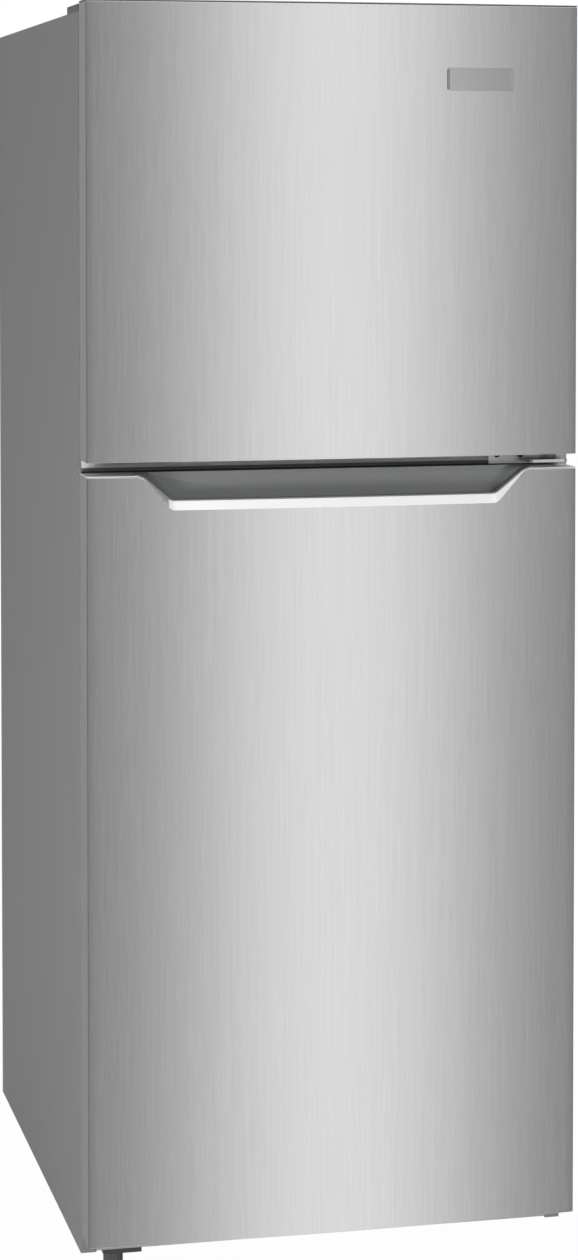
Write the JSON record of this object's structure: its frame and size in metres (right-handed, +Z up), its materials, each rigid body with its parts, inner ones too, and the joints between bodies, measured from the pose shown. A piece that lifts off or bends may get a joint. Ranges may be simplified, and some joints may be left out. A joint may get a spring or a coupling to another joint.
{
  "type": "top freezer refrigerator",
  "caption": "Apartment-size top freezer refrigerator with bowed brushed doors hinged on the right and a pocket handle between them.",
  "frame": {"origin": "on the floor under the middle of the overall box", "axes": "+Z up, the doors face -Y, their hinges are on the +X side"},
  "size_m": [0.604, 0.76, 1.537],
  "materials": {
    "cabinet_paint": "satin grey paint",
    "door_steel": "vertical brush lines",
    "galvanised": "plain zinc coating",
    "zinc": "bright zinc plate",
    "screw_steel": "dark screw heads",
    "foam": "rigid foam, stands in as a light solid",
    "liner_white": "glossy white",
    "dark_plastic": "fine satin",
    "rail_plastic": "satin dark grey",
    "cap_grey": "satin grey",
    "cup_grey": "satin dark grey",
    "silver_trim": "bright satin",
    "badge_metal": "bright satin, blank",
    "black_plastic": "fine grain",
    "black_paint": "satin black",
    "seal_grey": "soft matt",
    "rubber_black": "matt",
    "nylon": "smooth white",
    "clear_plastic": "clear, lightly tinted",
    "shelf_glass": "clear, green edge",
    "white_plastic": "smooth white",
    "lens": "frosted",
    "compressor_black": "gloss black",
    "copper": "bare copper",
    "fin_aluminium": "thin bright sheet"
  },
  "bodies": {
    "cabinet": {"side_panel_left": "cabinet_paint", "side_panel_right": "cabinet_paint", "cabinet_top": "cabinet_paint", "cabinet_back": "galvanised", "cabinet_foam": "foam", "freezer_liner": "liner_white", "fridge_liner": "liner_white", "mid_rail": "rail_plastic", "top_cover": "cap_grey", "base_frame": "galvanised", "top_hinge": "zinc", "mid_hinge": "zinc", "bottom_hinge": "zinc", "hinge_screws": "screw_steel", "hinge_spacers": "nylon", "foot_brackets": "black_paint", "roller_brackets": "galvanised", "compressor": "compressor_black", "compressor_mounts": "rubber_black", "terminal_box": "black_plastic", "refrigerant_pipes": "copper", "condenser_tube": "copper", "drain_pan": "dark_plastic", "compressor_cover": "galvanised", "cord_inlet": "rubber_black", "evaporator_fins": "fin_aluminium", "evaporator_tube": "fin_aluminium", "fan_motor": "dark_plastic", "evaporator_cover": "white_plastic", "control_box": "white_plastic", "lamp_lens": "lens", "light_switch": "white_plastic", "shelf_glass": "shelf_glass", "shelf_trims": "white_plastic"},
    "freezer_door": {"freezer_door_skin": "door_steel", "freezer_door_foam": "foam", "freezer_door_liner": "liner_white", "freezer_top_cap": "cap_grey", "freezer_bottom_cap": "dark_plastic", "freezer_gasket": "seal_grey", "freezer_door_bins": "clear_plastic", "badge": "badge_metal"},
    "fridge_door": {"fridge_door_skin": "door_steel", "fridge_door_foam": "foam", "fridge_door_liner": "liner_white", "fridge_top_cap": "cap_grey", "fridge_bottom_cap": "cap_grey", "fridge_gasket": "seal_grey", "fridge_door_bins": "clear_plastic", "handle_cup": "cup_grey", "handle_trim": "silver_trim"},
    "crisper": {"crisper_drawer": "clear_plastic"},
    "switch_button": {"switch_plunger": "white_plastic"},
    "knob": {"temperature_knob": "white_plastic"},
    "slider": {"airflow_slider": "cap_grey"},
    "fan": {"evaporator_fan": "white_plastic"},
    "left_roller": {"roller_left": "black_plastic"},
    "right_roller": {"roller_right": "black_plastic"},
    "left_foot": {"foot_left": "black_plastic"},
    "right_foot": {"foot_right": "black_plastic"}
  },
  "joints": [
    {"name": "freezer_door_swing", "type": "hinge", "parent": "cabinet", "child": "freezer_door", "pos_m": [0.29, -0.345, 1.264], "axis": [0, 0, 1], "range_deg": [0, 130]},
    {"name": "fridge_door_swing", "type": "hinge", "parent": "cabinet", "child": "fridge_door", "pos_m": [0.29, -0.345, 0.515], "axis": [0, 0, 1], "range_deg": [0, 130]},
    {"name": "crisper_slide", "type": "slide", "parent": "cabinet", "child": "crisper", "axis": [0, -1, 0], "range_m": [0, 0.25]},
    {"name": "switch_push", "type": "slide", "parent": "cabinet", "child": "switch_button", "axis": [0, -1, 0], "range_m": [0, 0.008]},
    {"name": "temperature_turn", "type": "hinge", "parent": "cabinet", "child": "knob", "pos_m": [0.08, -0.17, 0.928], "axis": [0, -1, 0], "range_deg": [-130, 130]},
    {"name": "airflow_slide", "type": "slide", "parent": "cabinet", "child": "slider", "axis": [1, 0, 0], "range_m": [-0.02, 0.02]},
    {"name": "fan_spin", "type": "hinge", "parent": "cabinet", "child": "fan", "pos_m": [0, 0.258, 1.345], "axis": [0, -1, 0], "continuous": true},
    {"name": "left_roller_roll", "type": "hinge", "parent": "cabinet", "child": "left_roller", "pos_m": [-0.271, 0.343, 0.02], "axis": [1, 0, 0], "continuous": true},
    {"name": "right_roller_roll", "type": "hinge", "parent": "cabinet", "child": "right_roller", "pos_m": [0.271, 0.343, 0.02], "axis": [1, 0, 0], "continuous": true},
    {"name": "left_foot_turn", "type": "hinge", "parent": "cabinet", "child": "left_foot", "pos_m": [-0.256, -0.275, 0.02], "axis": [0, 0, 1], "range_deg": [-180, 180]},
    {"name": "right_foot_turn", "type": "hinge", "parent": "cabinet", "child": "right_foot", "pos_m": [0.256, -0.205, 0.02], "axis": [0, 0, 1], "range_deg": [-180, 180]}
  ],
  "couplings": [
    {"joint": "crisper_slide", "follows": "fridge_door_swing", "m_per_rad": 0.11},
    {"joint": "switch_push", "follows": "fridge_door_swing", "m_per_rad": 0.0035}
  ]
}
